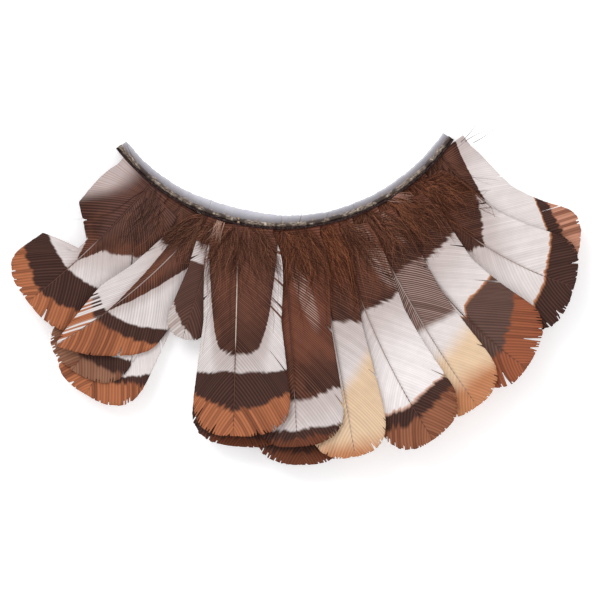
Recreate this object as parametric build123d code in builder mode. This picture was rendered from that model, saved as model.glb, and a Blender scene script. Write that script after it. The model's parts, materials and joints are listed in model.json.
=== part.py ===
from build123d import *
from math import cos, degrees, radians, sin, tan
import os

# A strip of feather eyelashes, lying flat with its glue face down.  Millimetres.
# The origin is the middle of the band's underside.  +X runs along the band, +Y points into
# the hollow side of its curve (towards the eye) and +Z points up, away from the lid.
# Angles round the band are measured from -Y, positive towards +X, as seen from above.

# ---- the band, a curved strip that bends at four places --------------------------------
BAND_RADIUS = 18.9          # curve of the band's neutral line
BAND_START = -52.0          # degrees round the curve at which the band starts and ends
BAND_FINISH = 55.0
SEGMENT_SWEEP = 21.2        # degrees of band between neighbouring bends
SEGMENTS = ("far_left", "left", "middle", "right", "far_right")
CLOSE_ANGLE = 12.0          # degrees each bend can close when the band is wrapped tighter
OPEN_ANGLE = 8.0            # degrees each bend can open when the band is pulled straight
FLEX_CLEARANCE = 0.012      # gap between neighbouring links at a bend

STRIP_INNER = -0.90         # the clear strip's edges, measured out from the neutral line
STRIP_OUTER = 0.36
STRIP_THICKNESS = 0.20
BEAD_INNER = -0.17          # the ridge of dried glue
BEAD_OUTER = 0.15
BEAD_TOP = 1.42
BEAD_ROUND = 0.12
THREAD_INNER = 0.15         # the black thread binding the quills
THREAD_OUTER = 0.36
THREAD_TOP = 1.48
THREAD_ROUND = 0.09

# ---- the feathers ----------------------------------------------------------------------
SHAFT_ROOT_RADIUS = 0.13
SHAFT_TIP_RADIUS = 0.05
SHAFT_SIDES = 8             # a shaft is nearly square in section, with its corners rounded off
SHAFT_REACH = 0.97          # how much of the feather's length the shaft covers
KNUCKLE_RADIUS = 0.15       # the round root on which a feather bends
VANE_THICKNESS = 0.10
WEB_CLEARANCE = 0.012       # gap between the shaft and the web on each side of it
HINGE_OFFSET = 0.55         # from the neutral line out to where a feather bends
STUB_GAP = 0.03             # between a feather's knuckle and its cut quill end
STUB_LENGTH = 0.86
SIDE_ROLL = 5.0             # degrees the side feathers tip, outer edge up, like roof tiles
UPPER_SLOPE = 0.035         # rise per mm at the root of the feathers in the two top layers
TOP_SLOPE = 0.050
CURL_RADIUS = 80.0          # upward curl of every feather

# height of each layer's quills above the glue face
LAYERS = {"under": 0.36, "lower": 0.58, "upper": 0.98, "top": 1.23}
SLOPES = {"under": 0.0, "lower": 0.0, "upper": UPPER_SLOPE, "top": TOP_SLOPE}

# how a vane widens from its base to its widest place, as (share of the way there, share of the
# widening), and the shares of the rest at which its rounded tip is drawn
VANE_GROWTH = ((0.036, 0.0), (0.17, 0.30), (0.46, 0.55), (0.80, 0.80), (1.0, 1.0))
TIP_STATIONS = (0.45, 0.70, 0.92)

# where a vane is widest, as a share of its length, and how blunt its tip is (2 is an ellipse)
PLAIN_TIP = (0.83, 2.6)
POINTED_TIP = (0.62, 1.3)
TIPS = {"04": POINTED_TIP}

# number: angle round the band, heading, bow (degrees), length, left and right half width,
# base width as a share of full width, layer, roll (degrees)
FEATHERS = {
    "01": (-38.5, -46.5, -12.0, 15.4, 4.2, 4.6, 0.60, "upper", -SIDE_ROLL),
    "02": (-24.0, -31.0, 0.0, 19.4, 4.2, 4.2, 0.50, "under", 0.0),
    "03": (-28.5, -33.0, 0.0, 18.0, 3.6, 4.2, 0.55, "lower", 0.0),
    "04": (-21.0, -50.0, -22.0, 17.9, 2.2, 5.2, 0.32, "upper", -SIDE_ROLL),
    "05": (-16.5, -19.0, 0.0, 11.2, 1.9, 1.9, 0.50, "upper", -SIDE_ROLL),
    "06": (-11.8, -1.2, 0.0, 19.1, 3.7, 5.1, 0.45, "top", 0.0),
    "07": (-7.0, -4.0, 0.0, 19.9, 4.6, 4.6, 0.50, "lower", 0.0),
    "08": (0.5, 4.5, 0.0, 19.7, 3.7, 4.4, 0.55, "upper", SIDE_ROLL),
    "09": (4.5, 1.0, 0.0, 21.4, 4.3, 4.3, 0.50, "under", 0.0),
    "10": (8.8, 11.0, 0.0, 21.1, 3.7, 3.3, 0.50, "upper", SIDE_ROLL),
    "11": (15.0, 24.8, 20.0, 21.6, 3.7, 4.1, 0.50, "upper", SIDE_ROLL),
    "12": (23.0, 31.0, 12.0, 20.3, 3.6, 3.6, 0.50, "upper", SIDE_ROLL),
    "13": (29.5, 41.0, 32.0, 19.9, 3.5, 4.9, 0.50, "upper", SIDE_ROLL),
    "14": (38.5, 58.0, 32.0, 17.5, 4.9, 4.0, 0.50, "upper", SIDE_ROLL),
    "15": (49.5, 56.5, 45.0, 15.3, 3.8, 3.2, 0.60, "upper", SIDE_ROLL),
}


def band_point(angle, radius, height=0.0):
    """A point at an angle round the band and a radius from the centre of its curve."""
    return Vector(radius * sin(radians(angle)), BAND_RADIUS - radius * cos(radians(angle)), height)


def segment_of(angle):
    """The index of the band link that carries a quill at this angle."""
    return int(round(angle / SEGMENT_SWEEP)) + len(SEGMENTS) // 2


class Feather:
    """One feather's place and curves, with x along its chord, y to its right and z up."""

    def __init__(self, number):
        angle, heading, bow, length, left, right, base, layer, roll = FEATHERS[number]
        self.angle = angle
        self.length = length
        self.bow = radians(bow)
        self.widths = (-left, right)
        widest, bluntness = TIPS.get(number, PLAIN_TIP)
        self.profile = [(widest * share, base + (1 - base) * growth) for share, growth in VANE_GROWTH]
        for share in TIP_STATIONS:
            width = (1 - share**bluntness) ** (1 / bluntness)
            self.profile.append((widest + (1 - widest) * share, width))
        self.slope = SLOPES[layer]
        self.hinge = band_point(angle, BAND_RADIUS + HINGE_OFFSET, LAYERS[layer])
        self.chord = Vector(sin(radians(heading)), -cos(radians(heading)), 0)
        level_right = Vector(cos(radians(heading)), sin(radians(heading)), 0)
        self.up = Vector(0, 0, 1) * cos(radians(roll)) - level_right * sin(radians(roll))
        self.plane = Plane(origin=self.hinge, x_dir=self.chord, z_dir=self.up)
        self.side_plane = Plane(origin=self.hinge, x_dir=self.chord, z_dir=self.chord.cross(self.up))

    def flat_point(self, distance, across=0.0):
        """A point beside the bowed centre line, in the feather's own plane."""
        heading = self.bow * (distance / self.length - 0.5)
        if self.bow:
            bend = self.length / self.bow
            x = bend * (sin(heading) + sin(self.bow / 2))
            y = bend * (cos(self.bow / 2) - cos(heading))
        else:
            x, y = distance, 0.0
        return Vector(x - across * sin(heading), y + across * cos(heading))

    def rise(self, x):
        """Height of the curled vane above the feather's plane."""
        return self.slope * x + x * x / (2 * CURL_RADIUS)

    def centre_point(self, distance):
        flat = self.flat_point(distance)
        return self.plane.from_local_coords(Vector(flat.X, flat.Y, self.rise(flat.X)))

    def cross_plane(self, distance):
        """A plane square to the centre line."""
        step = 0.01
        ahead = self.centre_point(distance + step) - self.centre_point(distance - step)
        return Plane(origin=self.centre_point(distance), x_dir=ahead.cross(self.up), z_dir=ahead)

    def shaft_radius(self, distance):
        share = distance / (self.length * SHAFT_REACH)
        return SHAFT_ROOT_RADIUS + (SHAFT_TIP_RADIUS - SHAFT_ROOT_RADIUS) * share


# ---- band pieces -----------------------------------------------------------------------
def link_end(angle, side):
    """Three points of a link's V-shaped end face; side is +1 at its start and -1 at its finish."""
    reach = 2.0
    inner_turn = degrees((reach * tan(radians(CLOSE_ANGLE / 2 + 0.5)) + FLEX_CLEARANCE) / (BAND_RADIUS - reach))
    pivot_turn = degrees(FLEX_CLEARANCE / BAND_RADIUS)
    outer_turn = degrees((reach * tan(radians(OPEN_ANGLE / 2 + 0.5)) + FLEX_CLEARANCE) / (BAND_RADIUS + reach))
    return (
        band_point(angle + side * inner_turn, BAND_RADIUS - reach),
        band_point(angle + side * pivot_turn, BAND_RADIUS),
        band_point(angle + side * outer_turn, BAND_RADIUS + reach),
    )


def band_piece(index, inner, outer, base, top, rounding=0.0, quills=None):
    """One link's stretch of a ring that follows the band, with holes where the quills pass."""
    centre = (index - len(SEGMENTS) // 2) * SEGMENT_SWEEP
    is_first = index == 0
    is_last = index == len(SEGMENTS) - 1
    start = link_end(BAND_START if is_first else centre - SEGMENT_SWEEP / 2, 1)
    finish = link_end(BAND_FINISH if is_last else centre + SEGMENT_SWEEP / 2, -1)
    with BuildPart() as piece:
        with BuildSketch(Plane.XY.offset(base)):
            with Locations((0, BAND_RADIUS)):
                Circle(BAND_RADIUS + outer)
                Circle(BAND_RADIUS + inner, mode=Mode.SUBTRACT)
            with BuildLine():
                Polyline(*start, *reversed(finish), close=True)
            make_face(mode=Mode.INTERSECT)
        extrude(amount=top - base)
        if rounding:
            long_edges = piece.edges().group_by(Axis.Z)[-1].filter_by(GeomType.CIRCLE)
            fillet(long_edges, rounding)
        if quills:
            add(quills.part, mode=Mode.SUBTRACT)
    return piece


def quill_ends(index):
    """The cut quills of one link: a stub behind every feather it carries."""
    with BuildPart() as quills:
        for number in FEATHERS:
            feather = Feather(number)
            if segment_of(feather.angle) == index:
                with BuildSketch(feather.cross_plane(0.0).offset(-KNUCKLE_RADIUS - STUB_GAP)):
                    Circle(SHAFT_ROOT_RADIUS)
                extrude(amount=-STUB_LENGTH)
    return quills


# ---- feather pieces --------------------------------------------------------------------
def feather_shaft(feather):
    """The tapering shaft, with a round knuckle at its root where the feather bends."""
    stations = 10
    reach = feather.length * SHAFT_REACH
    with BuildPart() as shaft:
        for step in range(stations):
            distance = reach * step / (stations - 1)
            with BuildSketch(feather.cross_plane(distance)):
                RegularPolygon(feather.shaft_radius(distance), SHAFT_SIDES)
        loft(ruled=True)
        with Locations(feather.cross_plane(0.0).location):
            Sphere(KNUCKLE_RADIUS)
    return shaft


def feather_vane(feather):
    """The two thin webs, left and right of the shaft, with one rounded outline."""
    left, right = feather.widths
    left_side = [feather.flat_point(t * feather.length, share * left) for t, share in feather.profile]
    right_side = [feather.flat_point(t * feather.length, share * right) for t, share in feather.profile]
    outline = left_side + [feather.flat_point(feather.length)] + right_side[::-1]
    far = feather.flat_point(feather.length).X + 1.0
    near = -1.0
    half = VANE_THICKNESS / 2
    depth = 8.0
    with BuildPart() as vane:
        with BuildSketch(feather.plane):
            with BuildLine():
                edge = Spline(*outline)
                Line(edge @ 1, edge @ 0)
            make_face()
            with BuildLine():
                slot_sides = []
                for side in (-1, 1):
                    points = []
                    for share in (-0.05, 0.5, 1.1):
                        distance = share * feather.length
                        gap = max(feather.shaft_radius(distance), SHAFT_TIP_RADIUS) + WEB_CLEARANCE
                        points.append(feather.flat_point(distance, side * gap))
                    slot_sides.append(Spline(*points))
                Line(slot_sides[0] @ 0, slot_sides[1] @ 0)
                Line(slot_sides[0] @ 1, slot_sides[1] @ 1)
            make_face(mode=Mode.SUBTRACT)
        extrude(amount=depth, both=True)
        with BuildSketch(feather.side_plane):
            with BuildLine():
                middle = far / 2
                under = ThreePointArc(
                    (near, feather.rise(near) - half),
                    (middle, feather.rise(middle) - half),
                    (far, feather.rise(far) - half),
                )
                over = ThreePointArc(
                    (near, feather.rise(near) + half),
                    (middle, feather.rise(middle) + half),
                    (far, feather.rise(far) + half),
                )
                Line(under @ 0, over @ 0)
                Line(under @ 1, over @ 1)
            make_face()
        extrude(amount=depth, both=True, mode=Mode.INTERSECT)
    return vane


def save(piece, label):
    piece.part.label = label
    export_step(piece.part, f"parts/{label}.step")


os.makedirs("parts", exist_ok=True)

for index, name in enumerate(SEGMENTS):
    quills = quill_ends(index)
    strip = band_piece(index, STRIP_INNER, STRIP_OUTER, 0.0, STRIP_THICKNESS)
    bead = band_piece(index, BEAD_INNER, BEAD_OUTER, STRIP_THICKNESS, BEAD_TOP, BEAD_ROUND, quills)
    thread = band_piece(index, THREAD_INNER, THREAD_OUTER, STRIP_THICKNESS, THREAD_TOP, THREAD_ROUND, quills)
    save(strip, f"band_strip_{name}")
    save(bead, f"glue_bead_{name}")
    save(thread, f"binding_thread_{name}")
    save(quills, f"quill_ends_{name}")

for number in FEATHERS:
    feather = Feather(number)
    save(feather_shaft(feather), f"feather_{number}_shaft")
    save(feather_vane(feather), f"feather_{number}_vane")
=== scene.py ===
import json
import math
from collections import namedtuple

import bpy
import numpy as np
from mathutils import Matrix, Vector

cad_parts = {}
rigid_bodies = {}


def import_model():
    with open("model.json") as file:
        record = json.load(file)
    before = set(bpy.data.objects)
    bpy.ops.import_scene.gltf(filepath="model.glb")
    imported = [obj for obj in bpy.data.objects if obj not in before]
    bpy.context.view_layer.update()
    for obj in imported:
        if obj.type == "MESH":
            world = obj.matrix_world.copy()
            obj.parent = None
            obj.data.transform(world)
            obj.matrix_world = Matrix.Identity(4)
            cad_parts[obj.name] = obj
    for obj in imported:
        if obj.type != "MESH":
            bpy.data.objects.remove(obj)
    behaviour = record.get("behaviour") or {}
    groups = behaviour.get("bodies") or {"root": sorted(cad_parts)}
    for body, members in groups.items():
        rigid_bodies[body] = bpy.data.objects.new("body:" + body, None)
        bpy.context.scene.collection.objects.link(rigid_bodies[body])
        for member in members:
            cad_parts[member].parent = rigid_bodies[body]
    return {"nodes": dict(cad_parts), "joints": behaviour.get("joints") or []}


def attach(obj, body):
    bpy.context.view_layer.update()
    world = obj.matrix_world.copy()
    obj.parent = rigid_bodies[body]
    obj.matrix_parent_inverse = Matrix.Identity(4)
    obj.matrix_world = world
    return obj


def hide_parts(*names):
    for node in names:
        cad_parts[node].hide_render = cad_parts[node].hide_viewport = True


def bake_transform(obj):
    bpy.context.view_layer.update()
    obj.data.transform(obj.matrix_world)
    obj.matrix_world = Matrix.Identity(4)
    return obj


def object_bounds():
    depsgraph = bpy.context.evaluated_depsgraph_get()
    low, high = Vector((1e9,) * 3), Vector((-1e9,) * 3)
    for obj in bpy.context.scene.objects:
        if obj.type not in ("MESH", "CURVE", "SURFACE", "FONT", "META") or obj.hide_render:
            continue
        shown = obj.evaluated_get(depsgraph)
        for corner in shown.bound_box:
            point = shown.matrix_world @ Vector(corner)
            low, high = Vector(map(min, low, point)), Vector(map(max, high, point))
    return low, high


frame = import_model()
cad_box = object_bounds()

# A feather strip eyelash: barred feathers bound to a curved band.  Metres, seen from +Z.

MM = 0.001
UP = np.array([0.0, 0.0, 1.0])
JOINTS = {joint["name"]: joint for joint in frame["joints"]}
LINKS = ("far_left", "left", "middle", "right", "far_right")

# ---- the band's curve, worked out from its outer hinge: it passes through the origin ----
OUTER_X, OUTER_Y, _ = JOINTS["flex_right_outer"]["pos_m"]
BAND_RADIUS = (OUTER_X**2 + OUTER_Y**2) / (2 * OUTER_Y)
OUTER_HINGE = math.atan2(OUTER_X, BAND_RADIUS - OUTER_Y)
INNER_HINGE = OUTER_HINGE / 3
LEFT_END = math.radians(-52.0)
RIGHT_END = math.radians(55.0)

# ---- colours, as sRGB values ----
UMBER = (104, 68, 56)
DARK = (66, 40, 33)
CHESTNUT = (100, 54, 40)
BAR = (70, 45, 39)
BAR_LIGHT = (122, 90, 78)
COPPER = (182, 112, 77)
RUST = (112, 64, 45)
CREAM = (220, 190, 158)
ORANGE = (190, 128, 90)
WHITE = (220, 211, 209)
SHADED_WHITE = (192, 178, 175)
GREY = (176, 154, 146)
PALE_DOWN = (196, 182, 180)
HAZE = (164, 138, 130)
HAZE_DARK = (104, 78, 70)
LIGHT_BARB = (150, 106, 88)
RUSTY = (128, 76, 56)

# ---- how each feather is marked ----
# Places are shares of the feather's length.  A border has three: at the left edge, on the
# shaft and at the right edge.  The marks are:
#   base          border of the brown base; brown is its colour in place of umber
#   spike         height and half width of the point in which the base runs up the shaft
#   bar           borders of the dark bar; bar_spike and bar_colour are its own
#   power         how steeply the base's border curves to the edges; power_bar is the bar's
#   tip           the tip's colour; tip_barbs is that of its dark barbs
#   cream         border beyond which white turns cream; tip_from is where the tip's colour starts
#   haze          places between which a brown haze fades out
#   patches       pale patches in the base: place along, place across, and half sizes
#   pale_left     the base is pale at its left edge
#   pale_root     place up to which a shaded root brightens
#   white, quill  colours of the pale middle and of the shaft
#   lines         how dark the painted shade in the grooves is in pale parts
#   streaks       some barbs of the left half stay white through bar and tip
#   dark_barbs    barbs of the right half with a random value above this are brown
#   line          strength of an orange line in front of the bar
FEATHERS = {
    "01": dict(
        base=(0.36, 0.50, 0.30), spike=(0.12, 0.20), bar=((0.62, 0.70, 0.60), (0.80, 0.90, 0.78)),
        pale_left=True, brown=(88, 60, 54), lines=0.16,
    ),
    "02": dict(base=(0.30, 0.34, 0.10), bar=((0.83, 0.88, 0.76), (0.87, 0.90, 0.82))),
    "03": dict(base=(0.30, 0.34, 0.10), bar=((0.68, 0.84, 0.80), (0.77, 0.915, 0.875)), tip=(150, 106, 84)),
    "04": dict(
        base=(0.24, 0.26, 0.02), spike=(0.44, 0.40), bar=((0.66, 0.70, 0.50), (0.70, 0.775, 0.60)),
        streaks=True, lines=0.26,
    ),
    "05": dict(
        base=(0.20, 0.22, 0.22), bar=((0.37, 0.36, 0.34), (0.72, 0.92, 1.05)), bar_colour=(88, 60, 52),
        tip=(206, 194, 190), tip_barbs=(160, 138, 132), lines=0.30,
    ),
    "06": dict(
        base=(-2.2, 0.61, -2.2), power=5.0, bar=((0.69, 0.70, 0.67), (0.79, 0.87, 0.79)), power_bar=2.0,
        quill=(196, 180, 168), dark_barbs=0.92, lines=0.30,
    ),
    "07": dict(base=(0.30, 0.50, 0.30), bar=((0.82, 0.84, 0.80), (0.955, 0.965, 0.945)), tip=RUST),
    "08": dict(
        base=(0.79, 0.785, 0.725), bar=((0.91, 0.925, 0.90), (0.955, 0.96, 0.94)), tip=RUST,
        patches=((0.31, 0.36, 0.16, 0.17),), lines=0.20,
    ),
    "09": dict(base=(0.45, 0.50, 0.45), bar=((0.82, 0.84, 0.82), (0.93, 0.94, 0.93)), tip=RUST, lines=0.26),
    "10": dict(
        base=(0.50, 0.41, 0.44), cream=(0.81, 0.69, 0.53), tip=ORANGE, tip_from=0.97,
        patches=((0.26, -0.50, 0.14, 0.18),), lines=0.22,
    ),
    "11": dict(
        base=(0.44, 0.39, 0.37), bar=((0.81, 0.83, 0.785), (0.87, 0.89, 0.85)), tip=(154, 98, 72),
        white=(231, 224, 223), line=0.7, patches=((0.18, 0.62, 0.18, 0.22),),
    ),
    "12": dict(
        base=(0.30, 0.30, 0.28), haze=(0.56, 0.61), cream=(0.76, 0.72, 0.66), tip=ORANGE, tip_from=0.90,
        patches=((0.13, -0.55, 0.10, 0.14), (0.10, 0.50, 0.10, 0.10)),
    ),
    "13": dict(
        base=(0.38, 0.32, 0.28), spike=(0.06, 0.10), bar=((0.58, 0.605, 0.58), (0.72, 0.86, 0.72)),
        bar_spike=(0.05, 0.14), bar_colour=(100, 74, 66), tip=(160, 92, 64), line=1.0,
    ),
    "14": dict(
        base=(0.28, 0.47, 0.24), spike=(0.03, 0.10), bar=((0.85, 0.845, 0.78), (1.2, 1.15, 0.93)), line=1.0
    ),
    "15": dict(
        base=(0.49, 0.38, -0.55), bar=((0.88, 0.82, 0.60), (1.05, 0.92, 0.70)), line=1.0,
        tip=(196, 138, 114), pale_root=0.30,
    ),
}
# The down near each feather's root: how many strands, and how chestnut they are
DOWN = {
    "01": (60, 0.05), "02": (40, 0.1), "03": (40, 0.1), "04": (300, 0.35), "05": (200, 0.4),
    "06": (360, 0.5), "07": (60, 0.5), "08": (620, 0.85), "09": (60, 0.5), "10": (760, 1.0),
    "11": (560, 0.65), "12": (520, 0.6), "13": (700, 0.75), "14": (760, 0.8), "15": (160, 0.3),
}


# ---- node helpers ----
def linear(colour):
    """An sRGB colour as the linear values that nodes use."""
    values = []
    for channel in colour:
        share = channel / 255
        values.append(share / 12.92 if share <= 0.04045 else ((share + 0.055) / 1.055) ** 2.4)
    return (*values, 1.0)


class Nodes:
    """Adds shader nodes and links them."""

    def __init__(self, name):
        self.material = bpy.data.materials.new(name)
        self.material.use_nodes = True
        self.tree = self.material.node_tree
        self.shader = self.tree.nodes["Principled BSDF"]

    def add(self, kind, inputs=None, **settings):
        node = self.tree.nodes.new(f"ShaderNode{kind}")
        for key, value in settings.items():
            setattr(node, key, value)
        self.feed(node, inputs or {})
        return node

    def feed(self, node, inputs):
        """Links a node's inputs or sets their values; a tuple is an sRGB colour."""
        for key, value in inputs.items():
            if isinstance(value, bpy.types.NodeSocket):
                self.tree.links.new(value, node.inputs[key])
            else:
                node.inputs[key].default_value = linear(value) if isinstance(value, tuple) else value

    def look(self, colour, roughness, specular=0.4, bump=()):
        """Sets up the surface; bump is a height with its strength and distance."""
        inputs = {"Base Color": colour, "Roughness": roughness, "Specular IOR Level": specular}
        if bump:
            node = self.add("Bump", dict(zip(("Height", "Strength", "Distance"), bump)))
            inputs["Normal"] = node.outputs[0]
        self.feed(self.shader, inputs)
        return self.material

    def attribute(self, name):
        return self.add("Attribute", attribute_name=name).outputs["Fac"]

    def maths(self, operation, first, second=0.0, third=0.0):
        node = self.add("Math", {0: first, 1: second, 2: third}, operation=operation)
        return node.outputs[0]

    def times(self, first, second):
        return self.maths("MULTIPLY", first, second)

    def scaled(self, value, factor, offset):
        """value * factor + offset"""
        return self.maths("MULTIPLY_ADD", value, factor, offset)

    def step(self, value, low, high):
        """0 below low, 1 above high and smooth in between."""
        inputs = {"Value": value, "From Min": low, "From Max": high}
        return self.add("MapRange", inputs, interpolation_type="SMOOTHSTEP").outputs[0]

    def mix(self, share, first, second, blend="MIX"):
        inputs = {"Factor": share, "A": first, "B": second}
        return self.add("Mix", inputs, data_type="RGBA", blend_type=blend).outputs["Result"]

    def darken(self, colour, shade):
        """The colour times a grey shade."""
        grey = self.add("CombineColor", {0: shade, 1: shade, 2: shade}).outputs[0]
        return self.mix(1.0, colour, grey, blend="MULTIPLY")

    def noise(self, scale, detail=2.0, place=None):
        place = place or self.add("TexCoord").outputs["Object"]
        node = self.add("TexNoise", {"Vector": place, "Scale": scale, "Detail": detail})
        return node.outputs["Fac"]


# ---- mesh helpers ----
def placed(name, data):
    """Puts a mesh, a light or a camera into the scene."""
    piece = bpy.data.objects.new(name, data)
    bpy.context.scene.collection.objects.link(piece)
    return piece


def make_mesh(name, points, faces, attributes=None):
    mesh = bpy.data.meshes.new(name)
    mesh.from_pydata([tuple(point) for point in points], [], faces)
    for key, values in (attributes or {}).items():
        layer = mesh.attributes.new(key, "FLOAT", "POINT")
        layer.data.foreach_set("value", np.asarray(values, np.float32))
    mesh.polygons.foreach_set("use_smooth", [True] * len(mesh.polygons))
    mesh.update()
    return placed(name, mesh)


def thicken(piece, thickness):
    """Turns a sheet into a closed skin of this thickness."""
    skin = piece.modifiers.new("skin", "SOLIDIFY")
    skin.thickness = thickness
    skin.offset = 0
    depsgraph = bpy.context.evaluated_depsgraph_get()
    piece.data = bpy.data.meshes.new_from_object(piece.evaluated_get(depsgraph))
    piece.modifiers.clear()


def node_points(name):
    mesh = frame["nodes"][name].data
    points = np.zeros(len(mesh.vertices) * 3)
    mesh.vertices.foreach_get("co", points)
    return points.reshape(-1, 3)


def ring_faces(rings, sides, first=0):
    """Quads between closed rings of points, with the end rings filled."""
    faces = []
    for ring in range(rings - 1):
        for side in range(sides):
            following = (side + 1) % sides
            a = first + ring * sides
            faces.append((a + side, a + following, a + sides + following, a + sides + side))
    faces.append(tuple(first + side for side in reversed(range(sides))))
    faces.append(tuple(first + (rings - 1) * sides + side for side in range(sides)))
    return faces


def section_turns(sides):
    """The angles of points round a section, as a row."""
    return np.linspace(0, 2 * math.pi, sides, endpoint=False)[None, :]


def unit(vectors):
    return vectors / np.linalg.norm(vectors, axis=-1, keepdims=True)


def rings_round(path, radii, across, over, sides):
    """Rings of points round a path, each in the plane of its two axes."""
    turns = section_turns(sides)[..., None]
    offsets = across[:, None] * np.cos(turns) + over[:, None] * np.sin(turns)
    return (path[:, None] + offsets * np.reshape(radii, (-1, 1, 1))).reshape(-1, 3)


def tube_points(path, radii, sides):
    ahead = unit(np.gradient(path, axis=0))
    across = unit(np.cross(ahead, UP))
    return rings_round(path, radii, across, np.cross(across, ahead), sides)


class Strands:
    """Gathers many thin strands into one mesh."""

    def __init__(self, sides=3):
        self.sides = sides
        self.points = []
        self.faces = []
        self.values = []

    def add(self, path, radii, value):
        self.points.append(tube_points(path, radii, self.sides))
        self.faces += ring_faces(len(path), self.sides, len(self.values))
        self.values += [value] * (len(path) * self.sides)

    def piece(self, name):
        return make_mesh(name, np.concatenate(self.points), self.faces, {"strand": self.values})


def walked(steps):
    """The distance covered before the first step and after each one."""
    return np.concatenate([[0], np.cumsum(steps)])


def stroll(u, v, heading, step):
    """Places along and across a feather on a strand of equal steps from u and v."""
    return u + walked(np.cos(heading[:-1]) * step), v + walked(np.sin(heading[:-1]) * step)


def smooth_noise(random, count, window):
    """Random values of about unit size that change slowly along a row."""
    values = random.normal(0, 1, count + window)
    kernel = np.ones(window) / math.sqrt(window)
    return np.convolve(values, kernel, mode="same")[:count]


def outer_edge(along, out):
    """The upper convex hull of points, sorted by their place along."""
    order = np.lexsort((out, along))
    hull = []
    for point in zip(along[order], out[order]):
        while len(hull) > 1:
            (x1, y1), (x2, y2) = hull[-2], hull[-1]
            if (x2 - x1) * (point[1] - y1) < (y2 - y1) * (point[0] - x1):
                break
            hull.pop()
        hull.append(point)
    return np.array(hull)


def hand_over(piece, body, material, replaced=()):
    """Gives a piece its material and body, and hides the CAD nodes that it stands for."""
    piece.data.materials.append(material)
    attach(piece, body)
    if replaced:
        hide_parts(*replaced)


# ---- one feather's place, read from the frame ----
THREAD_CLEAR = 0.385 * MM  # nothing of a feather comes nearer to the band's neutral line
SOFT_LIMIT = 0.08 * MM  # how gently feathers are kept off that limit
BEHIND = 2.4 * MM  # how far the curves run back beyond the hinge
BASE_FILL = 0.40  # how much wider the soft base is than the CAD web
BASE_REACH = 0.45  # share of the length over which that fades out
CENTRE_POINTS = 400  # along a centre line
CENTRE_REACH = 1.1  # how far it runs past the tip, as a share of the vane's reach
LEAST_ASIDE = 0.2 * MM  # points nearer to the centre line are no edge

# Where barbs are missing: how much of the half width, and the shares where the notch
# starts, is at its full depth, starts to close and is closed
NOTCHES = {("01", -1): (0.80, 0.37, 0.50, 0.60, 0.66)}
# The two outermost feathers carry down on their inner side only.
DOWN_SIDE = {"01": 1, "15": -1}

# Sides whose barbs lean back to the band's ends: where the edge starts, and the distance
# from which its width is carried back
EDGE_START = {("01", -1): (-1.2 * MM, 0.53 * MM), ("15", 1): (-0.4 * MM, 0.92 * MM)}


def clear_of_thread(points):
    """Moves points outwards, gently, so that none lies over the binding thread."""
    offset = points[..., :2] - np.array([0, BAND_RADIUS])
    distance = np.linalg.norm(offset, axis=-1)
    limit = BAND_RADIUS + THREAD_CLEAR
    eased = limit + SOFT_LIMIT * np.exp(np.minimum(distance - limit - SOFT_LIMIT, 0) / SOFT_LIMIT)
    moved = np.where(distance < limit + SOFT_LIMIT, eased, distance)
    points[..., :2] += offset * (moved / distance - 1)[..., None]
    return points


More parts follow.
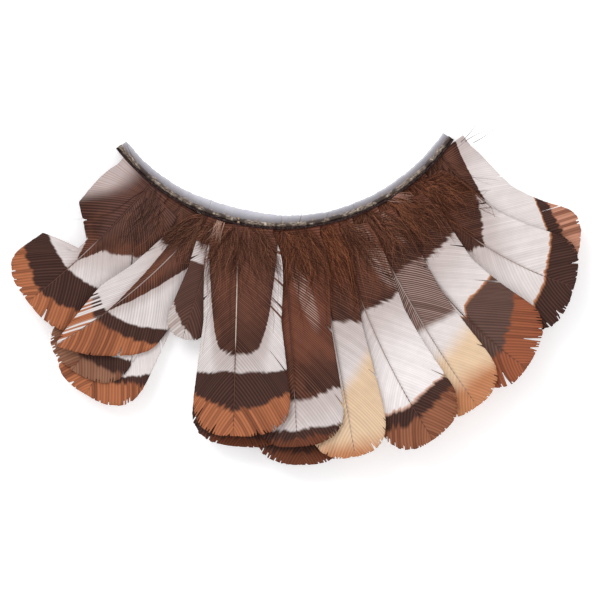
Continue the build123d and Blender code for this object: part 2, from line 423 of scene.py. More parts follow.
class FeatherPlace:
    """Curves of one CAD feather: centre line, half widths and the height of its surface."""

    def __init__(self, number):
        joint = JOINTS[f"lift_{number}"]
        self.number = number
        self.body = joint["child"]
        self.hinge = np.array(joint["pos_m"])
        self.right = -np.array(joint["axis"])
        self.chord = np.cross(self.right, UP)
        shaft = self.level(node_points(f"feather_{number}_shaft"))
        vane = self.level(node_points(f"feather_{number}_vane"))
        self.bend = np.polyfit(shaft[:, 0], shaft[:, 1], 3)
        basis = np.column_stack([np.ones(len(vane)), vane[:, 0], vane[:, 0] ** 2, vane[:, 1]])
        self.surface = np.linalg.lstsq(basis, vane[:, 2], rcond=None)[0]
        self.trace_centre(vane)
        self.trace_edges(vane)

    def level(self, points):
        """Points in the feather's level frame: along its chord, to its right, and up."""
        moved = points - self.hinge
        return np.column_stack([moved @ self.chord, moved @ self.right, moved[:, 2]])

    def trace_centre(self, vane):
        reach = vane[:, 0].max() * CENTRE_REACH
        self.centre_x = np.linspace(-BEHIND, reach, CENTRE_POINTS)
        self.centre_y = np.polyval(self.bend, self.centre_x)
        steps = np.hypot(np.diff(self.centre_x), np.diff(self.centre_y))
        self.centre_u = walked(steps) - BEHIND

    def trace_edges(self, vane):
        """The vane's two outer edges, as half width against distance along the shaft."""
        gaps = (vane[:, 0][:, None] - self.centre_x) ** 2 + (vane[:, 1][:, None] - self.centre_y) ** 2
        nearest = gaps.argmin(axis=1)
        u = self.centre_u[nearest]
        turn = np.arctan(np.polyval(np.polyder(self.bend), self.centre_x[nearest]))
        aside = vane[:, 1] - self.centre_y[nearest]
        ahead = vane[:, 0] - self.centre_x[nearest]
        v = aside * np.cos(turn) - ahead * np.sin(turn)
        self.length = u.max()
        self.edges = {}
        self.widest = {}
        for side in (-1, 1):
            chosen = side * v > LEAST_ASIDE
            edge = outer_edge(u[chosen], side * v[chosen])
            self.edges[side] = np.vstack([edge, [self.length, 0.0]])
            self.widest[side] = edge[:, 1].max()

    def half_width(self, u, side):
        edge = self.edges[side]
        web = (self.number, side)
        if web in EDGE_START:
            u = np.maximum(u, EDGE_START[web][1])
        fill = 1 + BASE_FILL * np.clip(1 - u / (BASE_REACH * self.length), 0, 1)
        if web in NOTCHES:
            depth, *shares = NOTCHES[web]
            fill = fill * (1 - np.interp(u / self.length, shares, (0, depth, depth, 0)))
        return np.interp(u, edge[:, 0], edge[:, 1]) * fill

    def world(self, u, v, lift=0.0):
        """World points beside the centre line at distance u along it and v to its right."""
        x = np.interp(u, self.centre_u, self.centre_x)
        y = np.interp(u, self.centre_u, self.centre_y)
        turn = np.arctan(np.polyval(np.polyder(self.bend), x))
        x, y = x - v * np.sin(turn), y + v * np.cos(turn)
        a, b, c, d = self.surface
        z = a + b * x + c * x * x + d * y + lift
        points = self.hinge + x[..., None] * self.chord + y[..., None] * self.right + z[..., None] * UP
        return clear_of_thread(points)


# ---- feather vanes ----
BARB_SPACING = 0.27 * MM  # between neighbouring barbs along the vane's edge
BARB_STEPS = 16  # points along a barb
EDGE_POINTS = 900  # along the vane's edge
BARB_LEAN = ((0.0, 0.30, 0.7, 1.0), (92.0, 52.0, 43.0, 34.0))  # degrees from the shaft
BARB_BEND = (0.42, 0.55)  # how a barb bows towards the tip on its way out
BARB_HALF = 0.38  # half a barb's width, as a share of the spacing
VANE_SKIN = 0.03 * MM  # thickness of a barb
RIDGE_HEIGHT = 0.022 * MM  # of a barb's middle over its sides
BASE_START = -0.26 * MM  # the first barbs leave the shaft just short of its hinge
LEAN_SCALE = {("04", -1): 0.45}  # sides whose barbs lie closer to the shaft
SHAFT_END = 0.975  # where the last barbs leave the shaft
TIP_FROM = 0.86  # share of the length beyond which the edge is fringed
LOOSE_TIPS = 0.35  # share of the barbs round the tip whose ends stand free
NEVER_OPEN = 1.1  # a share beyond the end of any barb
SPLIT_FADE = 2.5  # how many barbs beside a split lean away from it
FREE_NARROW = 0.4  # how much of its width a free end loses
WANDER = 0.15  # how far barbs drift from even spacing, in barbs
WAVE = 0.012 * MM  # how far they rise and sink together
# How much barbs differ in length and in height, and how much they do round the tip
REACH_SPREAD = (0.002, 0.005)
FLUTTER = (0.015 * MM, 0.05 * MM)
# A split's start as a share of its barb, its width in barbs, and how many barbs to the next
TIP_SPLITS = ((0.70, 0.93), (0.15, 0.6), (3, 11))
SIDE_SPLITS = ((0.65, 0.94), (0.2, 0.5), (18, 45))

# What the points of a vane carry: shares of its length and half width, a random value for
# each barb, and whether the point is on the barb's ridge
VANE_LAYERS = ("along", "across", "barb", "ridge")


class BarbSheet:
    """One side of a vane, as a family of curved barbs numbered from the root to the tip."""

    def __init__(self, place, side, random):
        self.place = place
        self.side = side
        self.random = random
        self.steps = np.linspace(0, 1, BARB_STEPS) ** 0.9
        self.trace_barbs()
        self.part_barbs()

    def trace_barbs(self):
        """Where each barb ends on the vane's edge, and where it leaves the shaft."""
        length = self.place.length
        web = (self.place.number, self.side)
        start, _ = EDGE_START.get(web, (BASE_START, 0.0))
        along = start + (length - start) * np.sin(np.linspace(0, math.pi / 2, EDGE_POINTS))
        out = self.place.half_width(along, self.side)
        walk = walked(np.hypot(np.diff(along), np.diff(out)))
        self.count = int(walk[-1] / BARB_SPACING)
        self.order = np.arange(self.count, dtype=float)
        even = np.linspace(0, walk[-1], self.count)
        self.end_u = np.interp(even, walk, along)
        self.end_v = np.interp(even, walk, out)
        lean = np.interp(self.end_u / length, *BARB_LEAN) * LEAN_SCALE.get(web, 1.0)
        root = self.end_u - self.end_v / np.tan(np.radians(lean))
        self.root_u = np.clip(np.maximum.accumulate(root), BASE_START, SHAFT_END * length)

    def part_barbs(self):
        """Splits where neighbouring barbs have come apart, more often round the tip."""
        at_tip = self.end_u > TIP_FROM * self.place.length
        loose = self.random.random(self.count) < LOOSE_TIPS
        opening = self.random.uniform(0.96, 1.0, self.count)
        self.open_from = np.where(at_tip & loose, opening, NEVER_OPEN)
        self.shift = np.zeros((self.count, BARB_STEPS))
        number = int(self.count * self.random.uniform(0.30, 0.42))
        while number < self.count - 2:
            depths, gaps, strides = TIP_SPLITS if at_tip[number] else SIDE_SPLITS
            depth = self.random.uniform(*depths)
            gap = self.random.uniform(*gaps)
            stride = int(self.random.integers(*strides))
            distance = self.order - number - 0.5
            push = gap * np.sign(distance) * np.exp(-np.abs(distance) / SPLIT_FADE)
            ramp = np.clip((self.steps - depth) / (1 - depth), 0, 1) ** 1.3
            self.shift += push[:, None] * ramp
            self.open_from[number] = min(self.open_from[number], depth)
            number += stride

    def curve(self, order, share):
        """Places along and across the feather on a barb, which may lie between two others."""
        root = np.interp(order, self.order, self.root_u)
        end_u = np.interp(order, self.order, self.end_u)
        end_v = np.interp(order, self.order, self.end_v)
        lean = 2 * share * (1 - share)
        u = root * (1 - share) ** 2 + lean * (root + BARB_BEND[0] * (end_u - root)) + end_u * share**2
        v = lean * BARB_BEND[1] * end_v + end_v * share**2
        return u, v + 0.01 * MM * (1 - share)

    def sheet(self):
        """Points with their attributes, three rows to a barb, and the faces between them."""
        place, random, share = self.place, self.random, self.steps[None, :]
        at_tip = (self.end_u > TIP_FROM * place.length).astype(int)
        reach = 1 + random.normal(0, 1, self.count) * np.take(REACH_SPREAD, at_tip)
        wander = WANDER * smooth_noise(random, self.count, 7)[:, None] * share**2
        wave = WAVE * smooth_noise(random, self.count, 11)[:, None] * share**2
        flutter = np.take(FLUTTER, at_tip) * random.normal(0, 1, self.count)
        height = wave + flutter[:, None] * share**4
        free = np.minimum(self.open_from, np.roll(self.open_from, 1))[:, None]
        narrow = 1 - FREE_NARROW * np.clip((share - free) / np.maximum(1 - free, 0.02), 0, 1) * (free < 1)
        identity = random.random(self.count)
        rows, layers = [], {name: [] for name in VANE_LAYERS}
        for offset, ridge in ((-BARB_HALF, 0.0), (0.0, 1.0), (BARB_HALF, 0.0)):
            order = self.order[:, None] + self.shift + wander + offset * narrow
            u, v = self.curve(order, share * reach[:, None])
            lift = height + ridge * RIDGE_HEIGHT * (1 - 0.5 * share)
            rows.append(place.world(u, self.side * v, lift))
            across = self.side * v / place.widest[self.side]
            for name, values in zip(VANE_LAYERS, (u / place.length, across, identity[:, None], ridge)):
                layers[name].append(np.broadcast_to(values, u.shape))
        points = np.stack(rows, axis=1).reshape(-1, 3)
        attributes = {key: np.stack(values, axis=1).ravel() for key, values in layers.items()}
        return points, attributes, self.faces()

    def faces(self):
        faces = []
        for number in range(self.count):
            for row in range(3):
                between_barbs = row == 2
                if between_barbs and number == self.count - 1:
                    continue
                for step in range(BARB_STEPS - 1):
                    if between_barbs and self.steps[step + 1] > self.open_from[number]:
                        break
                    a = (number * 3 + row) * BARB_STEPS + step
                    b = a + BARB_STEPS
                    quad = (a, a + 1, b + 1, b)
                    faces.append(quad if self.side > 0 else quad[::-1])
        return faces


def vane(place, seed):
    """Two sheets of ridged barbs, split here and there and fringed at the tip."""
    random = np.random.default_rng(seed)
    points, faces, layers, first = [], [], [], 0
    for side in (-1, 1):
        side_points, side_layers, side_faces = BarbSheet(place, side, random).sheet()
        points.append(side_points)
        layers.append(side_layers)
        faces += [tuple(first + corner for corner in face) for face in side_faces]
        first += len(side_points)
    attributes = {key: np.concatenate([layer[key] for layer in layers]) for key in layers[0]}
    piece = make_mesh(f"vane_{place.number}", np.concatenate(points), faces, attributes)
    thicken(piece, VANE_SKIN)
    look = VaneLook(place.number).material
    hand_over(piece, place.body, look, [f"feather_{place.number}_vane"])


PATCH_SLANT = 1.1  # how far a pale patch leans along the barbs


class VaneLook(Nodes):
    """Brown base, white middle, dark bar and coloured tip, with borders ragged barb by barb."""

    def __init__(self, number):
        super().__init__(f"vane_{number}")
        self.marks = dict(FEATHERS[number], warmth=DOWN[number][1])
        self.along, self.across, self.barb, self.ridge = map(self.attribute, VANE_LAYERS)
        self.side = self.maths("ABSOLUTE", self.across)
        on_ridge = self.step(self.ridge, 0.15, 0.75)
        self.hatch = self.times(on_ridge, self.step(self.barb, -0.3, 0.6))
        self.patch = self.noise(420.0, 3.0)
        wave = self.scaled(self.patch, 0.05, -0.025)
        self.place = self.maths("ADD", self.along, wave)
        self.ragged = self.scaled(self.barb, 0.016, -0.008)
        beyond = self.spike(self.border(self.marks["base"]), "spike")
        self.beyond_base = self.maths("ADD", beyond, self.ragged)
        colour = self.brown_base(self.pale_middle())
        self.finish(self.bar_and_tip(colour))

    def border(self, shares):
        """How far a point is beyond a border."""
        left, centre, right = shares
        power = self.marks.get("power" if shares == self.marks["base"] else "power_bar", 1.4)
        leftward = self.maths("MAXIMUM", self.times(self.across, -1.0), 0.0)
        rightward = self.maths("MAXIMUM", self.across, 0.0)
        line = self.scaled(self.maths("POWER", leftward, power), left - centre, centre)
        line = self.scaled(self.maths("POWER", rightward, power), right - centre, line)
        return self.maths("SUBTRACT", self.place, line)

    def spike(self, beyond, name):
        """Moves a border up the shaft in a narrow point."""
        height, width = self.marks.get(name, (0.0, 1.0))
        rise = self.maths("MAXIMUM", self.scaled(self.side, -1 / width, 1.0), 0.0)
        return self.scaled(rise, -height, beyond)

    def pale_middle(self):
        clean = self.step(self.beyond_base, -0.02, 0.30)
        if "pale_root" in self.marks:
            clean = self.step(self.along, 0.0, self.marks["pale_root"])
        colour = self.mix(clean, SHADED_WHITE, self.marks.get("white", WHITE))
        if "dark_barbs" in self.marks:
            dark = self.step(self.barb, self.marks["dark_barbs"], self.marks["dark_barbs"] + 0.02)
            dark = self.times(dark, self.step(self.across, 0.1, 0.4))
            colour = self.mix(dark, colour, UMBER)
        if "haze" in self.marks:
            start, finish = self.marks["haze"]
            hazy = self.mix(self.hatch, HAZE_DARK, HAZE)
            colour = self.mix(self.step(self.place, finish, start), colour, hazy)
        if "cream" in self.marks:
            creamy = self.step(self.border(self.marks["cream"]), -0.05, 0.06)
            colour = self.mix(creamy, colour, CREAM)
            tip_from = self.marks["tip_from"]
            tipped = self.step(self.place, tip_from - 0.08, tip_from + 0.03)
            colour = self.mix(tipped, colour, self.marks["tip"])
        return colour

    def brown_base(self, pale):
        beyond = self.beyond_base
        near = self.step(beyond, -0.30, -0.02)
        upper = self.mix(self.marks["warmth"], self.marks.get("brown", UMBER), CHESTNUT)
        brown = self.mix(near, upper, DARK)
        rusty = self.times(self.step(self.noise(330.0, 3.0), 0.46, 0.64), 0.40)
        brown = self.mix(rusty, brown, RUSTY)
        for along, across, half_along, half_across in self.marks.get("patches", ()):
            off_along = self.scaled(self.place, 1 / half_along, -along / half_along)
            off_across = self.scaled(self.across, 1 / half_across, -across / half_across)
            slant = math.copysign(PATCH_SLANT, across)
            off_across = self.scaled(off_along, -slant, off_across)
            square = self.times(off_along, off_along)
            square = self.scaled(off_across, off_across, square)
            inside = self.times(self.step(square, 1.4, 0.4), 0.9)
            brown = self.mix(self.times(inside, self.hatch), brown, GREY)
        if "pale_left" in self.marks:
            spread = self.scaled(self.across, 0.36, self.place)
            edge = self.times(self.step(self.across, -0.12, -0.72), self.step(spread, 0.08, -0.10))
            downy = self.mix(self.times(self.hatch, 0.6), PALE_DOWN, HAZE)
            brown = self.mix(edge, brown, downy)
        brown = self.mix(self.times(self.hatch, 0.24), brown, LIGHT_BARB)
        return self.mix(self.step(beyond, -0.01, 0.012), brown, pale)

    def bar_and_tip(self, colour):
        if "bar" not in self.marks:
            return colour
        start, finish = self.marks["bar"]
        into_bar = self.scaled(self.ragged, 0.5, self.spike(self.border(start), "bar_spike"))
        into_tip = self.scaled(self.ragged, 1.5, self.border(finish))
        if "line" in self.marks:
            lined = self.times(self.step(into_bar, -0.014, -0.006), self.marks["line"])
            colour = self.mix(lined, colour, ORANGE)
        bar = self.marks.get("bar_colour", BAR)
        bar = self.mix(self.times(self.hatch, 0.14), bar, BAR_LIGHT)
        dark_barb = self.step(self.barb, 0.30, 1.25)
        tip = self.mix(dark_barb, self.marks.get("tip", COPPER), self.marks.get("tip_barbs", RUST))
        if "streaks" in self.marks:
            on_left = self.step(self.across, 0.02, -0.02)
            streak = self.times(self.step(self.barb, 0.30, 0.40), on_left)
            bar = self.mix(streak, bar, WHITE)
            tip = self.mix(streak, tip, WHITE)
        colour = self.mix(self.step(into_bar, -0.008, 0.008), colour, bar)
        return self.mix(self.step(into_tip, -0.012, 0.012), colour, tip)

    def finish(self, colour):
        """Each barb a little lighter or darker, painted shade in the grooves between barbs, and a soft
        mottle.
        """
        value = self.add("RGBToBW", {"Color": colour}).outputs[0]
        pale_groove_shade = self.marks.get("lines", 0.13)
        depth = self.scaled(self.step(value, 0.05, 0.45), pale_groove_shade - 0.42, 0.42)
        # painted shade: the sides of each barb are darkened, most in dark parts
        groove_shade = self.times(self.maths("SUBTRACT", 1.0, self.ridge), depth)
        shade = self.maths("SUBTRACT", self.scaled(self.barb, 0.10, 1.03), groove_shade)
        mottle = self.scaled(self.noise(900.0, 3.0), 0.20, 0.90)
        colour = self.darken(colour, self.times(shade, mottle))
        rough = self.scaled(self.patch, 0.2, 0.5)
        self.look(colour, rough, 0.08, bump=(self.noise(9000.0, 1.0), 0.2, 0.00002))


# ---- shafts ----
SHAFT_ROOT = 0.075 * MM  # radius at the root
SHAFT_TIP = 0.028 * MM  # radius at the tip
SHAFT_RINGS = 60
SHAFT_SIDES = 10
SHAFT_CLOSE = np.array([0.45, 0.8, 0.95]) / 0.95  # how the radius grows from each end


def shaft_look(number):
    """Horn-like: brown, and paler over most of its length."""
    nodes = Nodes(f"shaft_{number}")
    along = nodes.attribute("along")
    marks = FEATHERS[number]
    base = marks["base"][1]
    bar = marks["bar"][0][1] if "bar" in marks else 1.0
    if "quill" in marks:
        end = nodes.step(along, base - 0.06, base + 0.02)
        pale = nodes.maths("SUBTRACT", nodes.step(along, 0.15, 0.35), end)
    else:
        pale = nodes.step(along, base - 0.05, base + 0.05)
    colour = nodes.mix(pale, (84, 54, 44), marks.get("quill", (158, 140, 134)))
    dark = nodes.step(along, bar - 0.10, bar)
    colour = nodes.mix(dark, colour, (96, 62, 50))
    streak = nodes.scaled(nodes.noise(2500.0, 3.0), 0.4, 0.8)
    rough = nodes.scaled(streak, 0.2, 0.25)
    colour = nodes.darken(colour, streak)
    return nodes.look(colour, rough, 0.2, bump=(nodes.noise(6000.0, 2.0), 0.2, 0.00002))


def shaft(place):
    """The tapering quill along the middle of the vane, round at both ends."""
    share = np.sin(np.linspace(0, math.pi / 2, SHAFT_RINGS)) ** 1.1
    u = BASE_START + share * (SHAFT_END * place.length - BASE_START)
    from_end = np.minimum(np.arange(SHAFT_RINGS), np.arange(SHAFT_RINGS)[::-1])
    radii = SHAFT_ROOT + (SHAFT_TIP - SHAFT_ROOT) * share
    radii = radii * SHAFT_CLOSE[np.minimum(from_end, 2)]
    path = place.world(u, np.zeros(SHAFT_RINGS), 0.02 * MM * (1 - share))
    points = tube_points(path, radii, SHAFT_SIDES)
    layers = {"along": np.repeat(share, SHAFT_SIDES)}
    piece = make_mesh(f"shaft_{place.number}", points, ring_faces(SHAFT_RINGS, SHAFT_SIDES), layers)
    look = shaft_look(place.number)
    hand_over(piece, place.body, look, [f"feather_{place.number}_shaft"])


# ---- down ----
def down_look(number, warmth):
    """Brown strands, some of them chestnut."""
    nodes = Nodes(f"down_{number}")
    strand = nodes.attribute("strand")
    bright = nodes.maths("POWER", strand, 1.7)
    cool = nodes.mix(bright, (54, 34, 28), (148, 108, 90))
    warm = nodes.mix(bright, (58, 28, 19), (174, 108, 77))
    rough = nodes.scaled(strand, 0.2, 0.55)
    colour = nodes.mix(warmth, cool, warm)
    return nodes.look(colour, rough, 0.1, bump=(nodes.noise(8000.0, 1.0), 0.2, 0.00001))


def down(place, seed):
    """Fine strands that fan out from the feather's base and lie over its vane."""
    random = np.random.default_rng(seed)
    count, warmth = DOWN[place.number]
    rings = 7
    strands = Strands()
    shares = np.linspace(0, 1, rings)
    base_end = (min(FEATHERS[place.number]["base"][1], 0.6) + 0.03) * place.length
    for _ in range(count):
        side = DOWN_SIDE.get(place.number, random.choice((-1, 1)))
        start = random.uniform(-0.12, 2.6) * MM
        aside = random.uniform(0, 0.8) * place.half_width(start, side)
        length = (1.0 + random.gamma(2.0, 1.25)) * MM
        spread = math.radians(8 + 30 * aside / place.half_width(start, side))
        heading = spread + random.normal(0, 0.35) + 0.35 * random.normal() * shares * 2
        heading = heading + 0.25 * np.sin(shares * 6 + random.uniform(0, 6))
        length = min(length, max(base_end - start, 0.9 * MM))
        step = length / (rings - 1)
        u, out = stroll(start, aside, heading, step)
        out = np.minimum(out, place.half_width(u, side) + random.uniform(-0.5, 0.15) * MM)
        lift = (0.06 + random.uniform(0, 0.13) * np.sin(shares * math.pi)) * MM
        path = place.world(u, side * out, lift)
        strands.add(path, random.uniform(0.014, 0.034) * MM * (1 - 0.8 * shares), random.random())
    piece = strands.piece(f"down_{place.number}")
    hand_over(piece, place.body, down_look(place.number, warmth))


# ---- build the feathers ----
places = {number: FeatherPlace(number) for number in sorted(FEATHERS)}
for index, (number, place) in enumerate(places.items()):
    vane(place, 100 + index)
    shaft(place)
    down(place, 300 + index)


# ---- the band ----
# Each layer of the band is one strip on the real lash.  It is made in four stretches that
# meet end to end, and each stretch spans one of the four hinges.
Stretch = namedtuple("Stretch", "name links replaced start finish hinge")
STRETCHES = (
    Stretch("far_left", ("far_left", "left"), ("far_left",), LEFT_END, -2 * INNER_HINGE, -OUTER_HINGE),
    Stretch("left", ("left", "middle"), ("left", "middle"), -2 * INNER_HINGE, 0.0, -INNER_HINGE),
    Stretch("right", ("middle", "right"), ("right",), 0.0, 2 * INNER_HINGE, INNER_HINGE),
    Stretch("far_right", ("right", "far_right"), ("far_right",), 2 * INNER_HINGE, RIGHT_END, OUTER_HINGE),
)
STATION = 0.12 * MM  # between sections of the strip and the glue
STRIP_OUTER = 0.24 * MM  # the strip's outer edge, from the band's neutral line
STRIP_INNER = -0.78 * MM  # and its inner edge, which is wider left of the middle
STRIP_BROAD = 0.36 * MM
STRIP_THICKNESS = 0.20 * MM
BEAD_HALF_WIDTH = 0.26 * MM
BEAD_HEIGHT = 0.74 * MM  # of the bead's middle
BEAD_HALF_HEIGHT = 0.60 * MM
THREAD_OFFSET = 0.28 * MM  # the winding's middle, outwards from the neutral line
THREAD_HEIGHT = 0.86 * MM
THREAD_HALF_WIDTH = 0.065 * MM
THREAD_HALF_HEIGHT = 0.56 * MM
THREAD_PITCH = 0.21 * MM
THREAD_RADIUS = 0.062 * MM
CORE_HALF_WIDTH = 0.115 * MM
CORE_HEIGHT = 0.83 * MM
CORE_HALF_HEIGHT = 0.58 * MM
STUB_START = 0.20 * MM  # from the feather's hinge, towards the eye
STUB_LENGTH = 0.66 * MM
STUB_SLANT = 0.06 * MM  # of the cut end
STUB_RADIUS = 0.105 * MM
STUB_FLAT = 0.85  # a stub's height as a share of its width


def band_place(angle, offset, height):
    """World points at angles round the band, offset outwards from its neutral line."""
    radius = BAND_RADIUS + offset
    return np.stack([radius * np.sin(angle), BAND_RADIUS - radius * np.cos(angle), height], axis=-1)


def bend_with_band(piece, stretch, node, material):
    """Gives a stretch its material, bakes its place into its points and hides the CAD nodes that it stands
    for.
    """
    piece.data.materials.append(material)
    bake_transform(piece)
    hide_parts(*[f"{node}_{link}" for link in stretch.replaced])


def swept(name, stretch, section):
    """A closed bar round one stretch; section gives its offsets and heights at each angle."""
    count = int((stretch.finish - stretch.start) * BAND_RADIUS / STATION)
    angle = np.linspace(stretch.start, stretch.finish, count)
    offset, height, _ = np.broadcast_arrays(*section(angle), angle[:, None])
    sides = offset.shape[1]
    points = band_place(angle[:, None], offset, height).reshape(-1, 3)
    layers = {"arc": np.repeat(angle * BAND_RADIUS / MM, sides), "out": (offset / MM).ravel()}
    piece = make_mesh(f"{name}_{stretch.name}", points, ring_faces(count, sides), layers)
    for end in (-1, -2):
        piece.data.polygons[end].use_smooth = False
    return piece


def ripple(angle, waves, size):
    """A fixed sum of sines that roughens an edge along the band."""
    arc = angle * BAND_RADIUS / MM
    total = sum(np.sin(arc * rate + rate * 3.7) for rate in waves)
    return size * total / len(waves)


def strip_section(angle):
    """A flat lens, thin at both edges, whose inner edge wavers slightly."""
    turns = section_turns(20)
    broad = np.exp(-(((angle + 0.25) / 0.28) ** 2))[:, None]
    waver = ripple(angle, (1.3, 2.9, 5.3, 11.0), 0.06 * MM)[:, None]
    inner = STRIP_INNER - STRIP_BROAD * broad - waver
    middle = (inner + STRIP_OUTER) / 2
    half = (STRIP_OUTER - inner) / 2
    offset = middle + half * np.cos(turns)
    height = STRIP_THICKNESS / 2 * (1 + np.sign(np.sin(turns)) * np.abs(np.sin(turns)) ** 0.55)
    return offset, height


def bead_section(angle):
    """A lumpy ridge of dried glue."""
    turns = section_turns(18)
    lumps = ripple(angle, (2.1, 5.7, 9.1, 14.3), 0.05 * MM)[:, None]
    skew = ripple(angle, (3.3, 7.9, 12.7), 0.04 * MM)[:, None]
    offset = (BEAD_HALF_WIDTH + 0.5 * lumps) * np.cos(turns) + skew * np.sin(turns)
    height = BEAD_HEIGHT + (BEAD_HALF_HEIGHT + lumps) * np.sin(turns)
    return offset, height


def core_section(angle):
    """The quills and glue inside the winding."""
    turns = section_turns(12)
    offset = THREAD_OFFSET + CORE_HALF_WIDTH * np.cos(turns)
    return offset, CORE_HEIGHT + CORE_HALF_HEIGHT * np.sin(turns)


def strip_look():
    nodes = Nodes("clear_strip")
    out = nodes.attribute("out")
    cloud = nodes.noise(700.0, 4.0)
    colour = nodes.mix(cloud, (184, 183, 194), (218, 217, 226))
    inwards = nodes.step(out, -1.0, -0.25)
    colour = nodes.mix(nodes.times(inwards, 0.8), colour, (136, 130, 136))
    nodes.shader.inputs["Coat Weight"].default_value = 0.3
    nodes.shader.inputs["Subsurface Weight"].default_value = 0.2
    nodes.shader.inputs["Subsurface Radius"].default_value = (0.0003, 0.0003, 0.0004)
    return nodes.look(colour, nodes.scaled(cloud, 0.25, 0.15), 0.6, bump=(cloud, 0.3, 0.00003))


def glue_look():
    """Dried glue over cut quills: tan and cream, with brown and black smears."""
    nodes = Nodes("dried_glue")
    arc = nodes.attribute("arc")
    out = nodes.attribute("out")
    lengthwise = nodes.add("CombineXYZ", {"X": nodes.times(arc, 0.35), "Y": out})
    streak = nodes.noise(9.0, 4.0, lengthwise.outputs[0])
    blotch = nodes.noise(700.0, 3.0)
    colour = nodes.mix(nodes.step(streak, 0.40, 0.66), (76, 62, 56), (158, 142, 126))
    fleck = nodes.noise(2400.0, 2.0)
    colour = nodes.mix(nodes.step(fleck, 0.60, 0.70), colour, (190, 176, 160))
    colour = nodes.mix(nodes.step(blotch, 0.50, 0.58), colour, (58, 44, 38))
    return nodes.look(colour, nodes.scaled(fleck, 0.3, 0.3), 0.3, bump=(fleck, 0.5, 0.00004))


def thread_look():
    """Black cotton, with the paler lie of its fibres."""
    nodes = Nodes("binding_thread")
    fibre = nodes.noise(5200.0, 3.0)
    colour = nodes.mix(nodes.step(fibre, 0.42, 0.72), (36, 25, 27), (88, 68, 64))
    return nodes.look(colour, nodes.scaled(fibre, 0.3, 0.5), 0.15, bump=(fibre, 0.6, 0.00003))


def winding(stretch):
    """The black thread, wound round the quills beside the glue, over a dark core."""
    sides, around = 6, 14
    reach = stretch.finish - stretch.start
    turns = int(reach * BAND_RADIUS / THREAD_PITCH)
    share = np.linspace(0, 1, turns * around + 1)
    angle = stretch.start + reach * (0.004 + 0.992 * share)
    phase = 2 * math.pi * turns * share
    slack = 1 + 0.04 * np.sin(angle * 310) + 0.03 * np.sin(angle * 730)
    offset = THREAD_OFFSET + THREAD_HALF_WIDTH * np.cos(phase)
    height = THREAD_HEIGHT + THREAD_HALF_HEIGHT * slack * np.sin(phase)
    path = band_place(angle, offset, height)
    ahead = unit(np.gradient(path, axis=0))
    outward = path - band_place(angle, THREAD_OFFSET, np.full(len(angle), THREAD_HEIGHT))
    outward = unit(outward - (outward * ahead).sum(axis=1)[:, None] * ahead)
    points = rings_round(path, THREAD_RADIUS, outward, np.cross(ahead, outward), sides)
    return make_mesh(f"thread_{stretch.name}", points, ring_faces(len(path), sides))


def quill_stubs(link, material):
    """The cut ends of one link's quills, sliced at a slant, on the eye side of the glue."""
    sides, rings = 12, 8
    turns = section_turns(sides)[..., None]
    share = np.linspace(0, 1, rings)[:, None, None]
    points, faces, first = [], [], 0
    for place in places.values():
        if JOINTS[f"lift_{place.number}"]["parent"] != f"band_{link}":
            continue
        direction = unit(place.hinge - place.world(np.array([0.6 * MM]), np.array([0.0]))[0])
        across = unit(np.cross(direction, UP))
        over = np.cross(across, direction)
        reach = STUB_START + STUB_LENGTH * share - STUB_SLANT * np.sin(turns) * share
        swell = STUB_RADIUS * (1.0 + 0.15 * np.sin(share * 5))
        offset = np.cos(turns) * swell * across + np.sin(turns) * swell * STUB_FLAT * over
        points.append((place.hinge + reach * direction + offset).reshape(-1, 3))
        faces += ring_faces(rings, sides, first)
        first += rings * sides
    piece = make_mesh(f"quill_stubs_{link}", np.concatenate(points), faces)
    hand_over(piece, f"band_{link}", material, [f"quill_ends_{link}"])


def stub_look():
    nodes = Nodes("cut_quill")
    grain = nodes.noise(3000.0, 3.0)
    colour = nodes.mix(grain, (120, 92, 70), (196, 172, 138))
    return nodes.look(colour, nodes.scaled(grain, 0.3, 0.25), 0.5, bump=(grain, 0.3, 0.00002))


def band():
    strip_material, glue_material, thread_material = strip_look(), glue_look(), thread_look()
    for stretch in STRETCHES:
        strip = swept("strip", stretch, strip_section)
        bend_with_band(strip, stretch, "band_strip", strip_material)
        bead = swept("glue", stretch, bead_section)
        bend_with_band(bead, stretch, "glue_bead", glue_material)
        for part in (swept("thread_core", stretch, core_section), winding(stretch)):
            bend_with_band(part, stretch, "binding_thread", thread_material)
    stub_material = stub_look()
    for link in LINKS:
        quill_stubs(link, stub_material)


band()


# ---- stray hairs ----
# Each is one long barb that stands out from a feather's base: the feather, where it starts
# (mm along and across), its heading from the shaft in degrees, its length and its curl.
STRAY_HAIRS = (
    ("15", 0.6, 2.0, 74.0, 3.0, 0.5),
    ("15", 0.9, 2.3, 68.0, 2.7, -0.4),
    ("15", 1.6, 2.6, 60.0, 2.6, 0.3),
    ("14", 1.2, 2.2, 88.0, 3.6, -0.3),
    ("01", -0.3, -2.6, 112.0, 1.5, -0.5),
    ("01", -0.6, -2.6, 98.0, 1.7, 0.4),
    ("01", -0.1, -2.8, 84.0, 1.4, 0.6),
    ("08", 0.3, 1.0, 150.0, 2.4, 0.3),
    ("10", 0.3, 0.8, 160.0, 1.8, -0.3),
)
# Pale tufts: the feather, where it starts (mm along and across), its heading in degrees, its
# length and how many strands it has.
TUFTS = (
    ("13", -0.2, 1.0, 40, 1.9, 34),
    ("05", -0.1, -0.1, 4, 2.0, 30),
)


def loose_path(place, along, across, turn, step, height):
    """A free strand that starts near a feather's root, at heights over its hinge."""
    u, v = stroll(along, across, turn, step)
    return place.hinge + np.outer(u, place.chord) + np.outer(v, place.right) + np.outer(height, UP)


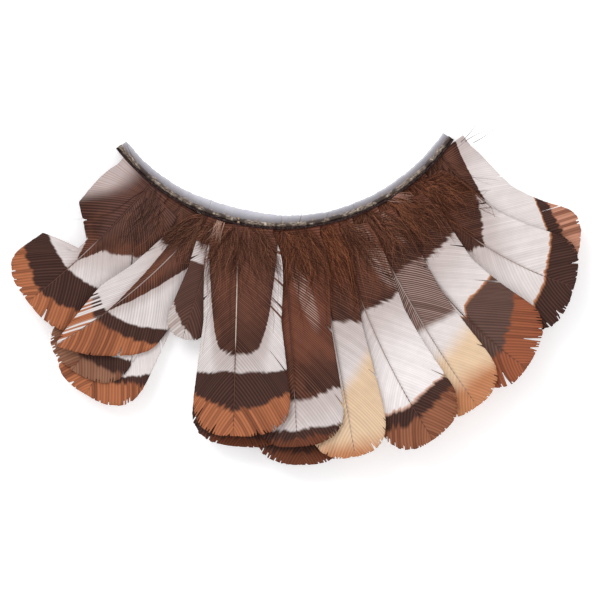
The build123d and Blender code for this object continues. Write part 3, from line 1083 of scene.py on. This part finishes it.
def stray_hairs():
    rings = 12
    shares = np.linspace(0, 1, rings)
    height = 0.35 * MM + 0.5 * MM * shares
    material = down_look("stray", 0.3)
    by_feather = {}
    for number, along, across, heading, length, curl in STRAY_HAIRS:
        strands = by_feather.setdefault(number, Strands(5))
        side = 1 if across > 0 else -1
        turn = side * (math.radians(heading) + curl * shares)
        step = length * MM / (rings - 1)
        path = loose_path(places[number], along * MM, across * MM, turn, step, height)
        strands.add(path, 0.03 * MM * (1 - 0.7 * shares), 0.35)
    for number, strands in by_feather.items():
        hand_over(strands.piece(f"stray_hair_{number}"), places[number].body, material)


def tuft_look():
    """Pale downy barbs with a touch of orange."""
    nodes = Nodes("pale_tuft")
    strand = nodes.attribute("strand")
    colour = nodes.mix(strand, (150, 92, 72), (206, 172, 156))
    return nodes.look(colour, nodes.scaled(strand, 0.2, 0.5), 0.1)


def tufts():
    """Short pale strands that stick out from under the thread."""
    rings = 7
    shares = np.linspace(0, 1, rings)
    height = 0.3 * MM + 0.25 * MM * shares
    material = tuft_look()
    for index, (number, along, across, heading, length, count) in enumerate(TUFTS):
        random = np.random.default_rng(400 + index)
        strands = Strands()
        for _ in range(count):
            turn = math.radians(heading + random.normal(0, 9)) + random.normal(0, 0.2) * shares
            step = length * MM * random.uniform(0.6, 1.1) / (rings - 1)
            start = (across + random.normal(0, 0.25)) * MM
            path = loose_path(places[number], along * MM, start, turn, step, height)
            strands.add(path, random.uniform(0.018, 0.034) * MM * (1 - 0.8 * shares), random.random())
        hand_over(strands.piece(f"pale_tuft_{number}"), places[number].body, material)


stray_hairs()
tufts()


# ---- floor, light and camera ----
VIEW_WIDTH = 1.063  # of the picture, in widths of the object
VIEW_SHIFT = (0.007, -0.003)  # of the camera off the middle, in the same
BOX_CENTRE = (cad_box[0] + cad_box[1]) / 2


def floor():
    size = 2.0
    points = [(-size, -size, 0), (size, -size, 0), (size, size, 0), (-size, size, 0)]
    piece = make_mesh("floor", points, [(0, 1, 2, 3)])
    piece.location.z = -0.02 * MM
    nodes = Nodes("floor")
    nodes.look((252, 252, 253), 0.9)
    nodes.shader.inputs["Emission Color"].default_value = (1, 1, 1, 1)
    nodes.shader.inputs["Emission Strength"].default_value = 0.22
    piece.data.materials.append(nodes.material)


def area_light(name, place, size, power):
    """A round light that looks at the object's middle."""
    data = bpy.data.lights.new(name, "AREA")
    data.shape = "DISK"
    data.size = size
    data.energy = power
    light = placed(name, data)
    light.location = place
    light.rotation_mode = "QUATERNION"
    light.rotation_quaternion = (BOX_CENTRE - Vector(place)).to_track_quat("-Z", "Y")


def studio():
    world = bpy.data.worlds.new("studio")
    world.use_nodes = True
    background = world.node_tree.nodes["Background"]
    background.inputs[0].default_value = (1, 1, 1, 1)
    background.inputs[1].default_value = 0.86
    bpy.context.scene.world = world
    area_light("key", (-0.16, 0.20, 0.30), 0.18, 0.42)
    area_light("fill", (0.25, -0.12, 0.28), 0.25, 0.16)
    bpy.context.scene.view_settings.view_transform = "Standard"


def camera():
    """Straight above, with the strip across the whole picture."""
    size = cad_box[1].x - cad_box[0].x
    data = bpy.data.cameras.new("camera")
    data.lens = 200
    data.clip_start = 0.01
    data.clip_end = 10
    view = placed("camera", data)
    distance = VIEW_WIDTH * size * data.lens / data.sensor_width
    view.location = BOX_CENTRE + Vector(VIEW_SHIFT).to_3d() * size
    view.location.z = distance
    bpy.context.scene.camera = view


floor()
studio()
camera()
